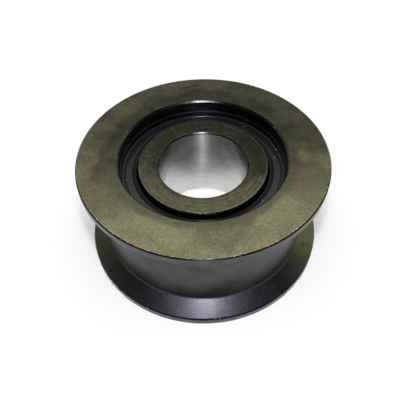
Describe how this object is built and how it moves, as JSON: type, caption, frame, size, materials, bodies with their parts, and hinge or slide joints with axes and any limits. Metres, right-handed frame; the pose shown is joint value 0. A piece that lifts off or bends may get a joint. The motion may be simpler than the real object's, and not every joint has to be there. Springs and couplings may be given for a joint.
{
  "type": "belt pulley",
  "caption": "Flanged belt or chain guide pulley with a flat tread and sloped flanges, turning on its own sealed ball bearing with a plain bore for a fixed pin.",
  "frame": {"origin": "centre of the bore, half-way across the pulley's width", "axes": "+Z along the axis of turning, up as it lies on its lower flange"},
  "size_m": [0.11, 0.11, 0.05],
  "materials": {
    "blackened_steel": "black oxide, satin",
    "bearing_steel": "black oxide faces, ground bore",
    "seal_rubber": "moulded, semi-matt",
    "cage_nylon": "moulded, matt",
    "ball_steel": "polished"
  },
  "bodies": {
    "inner_ring": {"inner_ring": "bearing_steel"},
    "pulley": {"pulley_ring": "blackened_steel", "upper_seal": "seal_rubber", "lower_seal": "seal_rubber"},
    "upper_cage": {"upper_cage": "cage_nylon"},
    "upper_ball_01": {"upper_ball_01": "ball_steel"},
    "upper_ball_02": {"upper_ball_02": "ball_steel"},
    "upper_ball_03": {"upper_ball_03": "ball_steel"},
    "upper_ball_04": {"upper_ball_04": "ball_steel"},
    "upper_ball_05": {"upper_ball_05": "ball_steel"},
    "upper_ball_06": {"upper_ball_06": "ball_steel"},
    "upper_ball_07": {"upper_ball_07": "ball_steel"},
    "upper_ball_08": {"upper_ball_08": "ball_steel"},
    "upper_ball_09": {"upper_ball_09": "ball_steel"},
    "upper_ball_10": {"upper_ball_10": "ball_steel"},
    "lower_cage": {"lower_cage": "cage_nylon"},
    "lower_ball_01": {"lower_ball_01": "ball_steel"},
    "lower_ball_02": {"lower_ball_02": "ball_steel"},
    "lower_ball_03": {"lower_ball_03": "ball_steel"},
    "lower_ball_04": {"lower_ball_04": "ball_steel"},
    "lower_ball_05": {"lower_ball_05": "ball_steel"},
    "lower_ball_06": {"lower_ball_06": "ball_steel"},
    "lower_ball_07": {"lower_ball_07": "ball_steel"},
    "lower_ball_08": {"lower_ball_08": "ball_steel"},
    "lower_ball_09": {"lower_ball_09": "ball_steel"},
    "lower_ball_10": {"lower_ball_10": "ball_steel"}
  },
  "joints": [
    {"name": "pulley_spin", "type": "hinge", "parent": "inner_ring", "child": "pulley", "pos_m": [0, 0, 0], "axis": [0, 0, 1], "continuous": true},
    {"name": "upper_cage_spin", "type": "hinge", "parent": "inner_ring", "child": "upper_cage", "pos_m": [0, 0, 0.007], "axis": [0, 0, 1], "continuous": true},
    {"name": "upper_ball_01_roll", "type": "hinge", "parent": "upper_cage", "child": "upper_ball_01", "pos_m": [0.03067, 0.00997, 0.007], "axis": [0, 0, 1], "continuous": true},
    {"name": "upper_ball_02_roll", "type": "hinge", "parent": "upper_cage", "child": "upper_ball_02", "pos_m": [0.01896, 0.02609, 0.007], "axis": [0, 0, 1], "continuous": true},
    {"name": "upper_ball_03_roll", "type": "hinge", "parent": "upper_cage", "child": "upper_ball_03", "pos_m": [0, 0.03225, 0.007], "axis": [0, 0, 1], "continuous": true},
    {"name": "upper_ball_04_roll", "type": "hinge", "parent": "upper_cage", "child": "upper_ball_04", "pos_m": [-0.01896, 0.02609, 0.007], "axis": [0, 0, 1], "continuous": true},
    {"name": "upper_ball_05_roll", "type": "hinge", "parent": "upper_cage", "child": "upper_ball_05", "pos_m": [-0.03067, 0.00997, 0.007], "axis": [0, 0, 1], "continuous": true},
    {"name": "upper_ball_06_roll", "type": "hinge", "parent": "upper_cage", "child": "upper_ball_06", "pos_m": [-0.03067, -0.00997, 0.007], "axis": [0, 0, 1], "continuous": true},
    {"name": "upper_ball_07_roll", "type": "hinge", "parent": "upper_cage", "child": "upper_ball_07", "pos_m": [-0.01896, -0.02609, 0.007], "axis": [0, 0, 1], "continuous": true},
    {"name": "upper_ball_08_roll", "type": "hinge", "parent": "upper_cage", "child": "upper_ball_08", "pos_m": [0, -0.03225, 0.007], "axis": [0, 0, 1], "continuous": true},
    {"name": "upper_ball_09_roll", "type": "hinge", "parent": "upper_cage", "child": "upper_ball_09", "pos_m": [0.01896, -0.02609, 0.007], "axis": [0, 0, 1], "continuous": true},
    {"name": "upper_ball_10_roll", "type": "hinge", "parent": "upper_cage", "child": "upper_ball_10", "pos_m": [0.03067, -0.00997, 0.007], "axis": [0, 0, 1], "continuous": true},
    {"name": "lower_cage_spin", "type": "hinge", "parent": "inner_ring", "child": "lower_cage", "pos_m": [0, 0, -0.007], "axis": [0, 0, 1], "continuous": true},
    {"name": "lower_ball_01_roll", "type": "hinge", "parent": "lower_cage", "child": "lower_ball_01", "pos_m": [0.03067, 0.00997, -0.007], "axis": [0, 0, 1], "continuous": true},
    {"name": "lower_ball_02_roll", "type": "hinge", "parent": "lower_cage", "child": "lower_ball_02", "pos_m": [0.01896, 0.02609, -0.007], "axis": [0, 0, 1], "continuous": true},
    {"name": "lower_ball_03_roll", "type": "hinge", "parent": "lower_cage", "child": "lower_ball_03", "pos_m": [0, 0.03225, -0.007], "axis": [0, 0, 1], "continuous": true},
    {"name": "lower_ball_04_roll", "type": "hinge", "parent": "lower_cage", "child": "lower_ball_04", "pos_m": [-0.01896, 0.02609, -0.007], "axis": [0, 0, 1], "continuous": true},
    {"name": "lower_ball_05_roll", "type": "hinge", "parent": "lower_cage", "child": "lower_ball_05", "pos_m": [-0.03067, 0.00997, -0.007], "axis": [0, 0, 1], "continuous": true},
    {"name": "lower_ball_06_roll", "type": "hinge", "parent": "lower_cage", "child": "lower_ball_06", "pos_m": [-0.03067, -0.00997, -0.007], "axis": [0, 0, 1], "continuous": true},
    {"name": "lower_ball_07_roll", "type": "hinge", "parent": "lower_cage", "child": "lower_ball_07", "pos_m": [-0.01896, -0.02609, -0.007], "axis": [0, 0, 1], "continuous": true},
    {"name": "lower_ball_08_roll", "type": "hinge", "parent": "lower_cage", "child": "lower_ball_08", "pos_m": [0, -0.03225, -0.007], "axis": [0, 0, 1], "continuous": true},
    {"name": "lower_ball_09_roll", "type": "hinge", "parent": "lower_cage", "child": "lower_ball_09", "pos_m": [0.01896, -0.02609, -0.007], "axis": [0, 0, 1], "continuous": true},
    {"name": "lower_ball_10_roll", "type": "hinge", "parent": "lower_cage", "child": "lower_ball_10", "pos_m": [0.03067, -0.00997, -0.007], "axis": [0, 0, 1], "continuous": true}
  ],
  "couplings": [
    {"joint": "upper_cage_spin", "follows": "pulley_spin", "ratio": 0.58527},
    {"joint": "upper_ball_01_roll", "follows": "pulley_spin", "ratio": 2.8465},
    {"joint": "upper_ball_02_roll", "follows": "pulley_spin", "ratio": 2.8465},
    {"joint": "upper_ball_03_roll", "follows": "pulley_spin", "ratio": 2.8465},
    {"joint": "upper_ball_04_roll", "follows": "pulley_spin", "ratio": 2.8465},
    {"joint": "upper_ball_05_roll", "follows": "pulley_spin", "ratio": 2.8465},
    {"joint": "upper_ball_06_roll", "follows": "pulley_spin", "ratio": 2.8465},
    {"joint": "upper_ball_07_roll", "follows": "pulley_spin", "ratio": 2.8465},
    {"joint": "upper_ball_08_roll", "follows": "pulley_spin", "ratio": 2.8465},
    {"joint": "upper_ball_09_roll", "follows": "pulley_spin", "ratio": 2.8465},
    {"joint": "upper_ball_10_roll", "follows": "pulley_spin", "ratio": 2.8465},
    {"joint": "lower_cage_spin", "follows": "pulley_spin", "ratio": 0.58527},
    {"joint": "lower_ball_01_roll", "follows": "pulley_spin", "ratio": 2.8465},
    {"joint": "lower_ball_02_roll", "follows": "pulley_spin", "ratio": 2.8465},
    {"joint": "lower_ball_03_roll", "follows": "pulley_spin", "ratio": 2.8465},
    {"joint": "lower_ball_04_roll", "follows": "pulley_spin", "ratio": 2.8465},
    {"joint": "lower_ball_05_roll", "follows": "pulley_spin", "ratio": 2.8465},
    {"joint": "lower_ball_06_roll", "follows": "pulley_spin", "ratio": 2.8465},
    {"joint": "lower_ball_07_roll", "follows": "pulley_spin", "ratio": 2.8465},
    {"joint": "lower_ball_08_roll", "follows": "pulley_spin", "ratio": 2.8465},
    {"joint": "lower_ball_09_roll", "follows": "pulley_spin", "ratio": 2.8465},
    {"joint": "lower_ball_10_roll", "follows": "pulley_spin", "ratio": 2.8465}
  ]
}
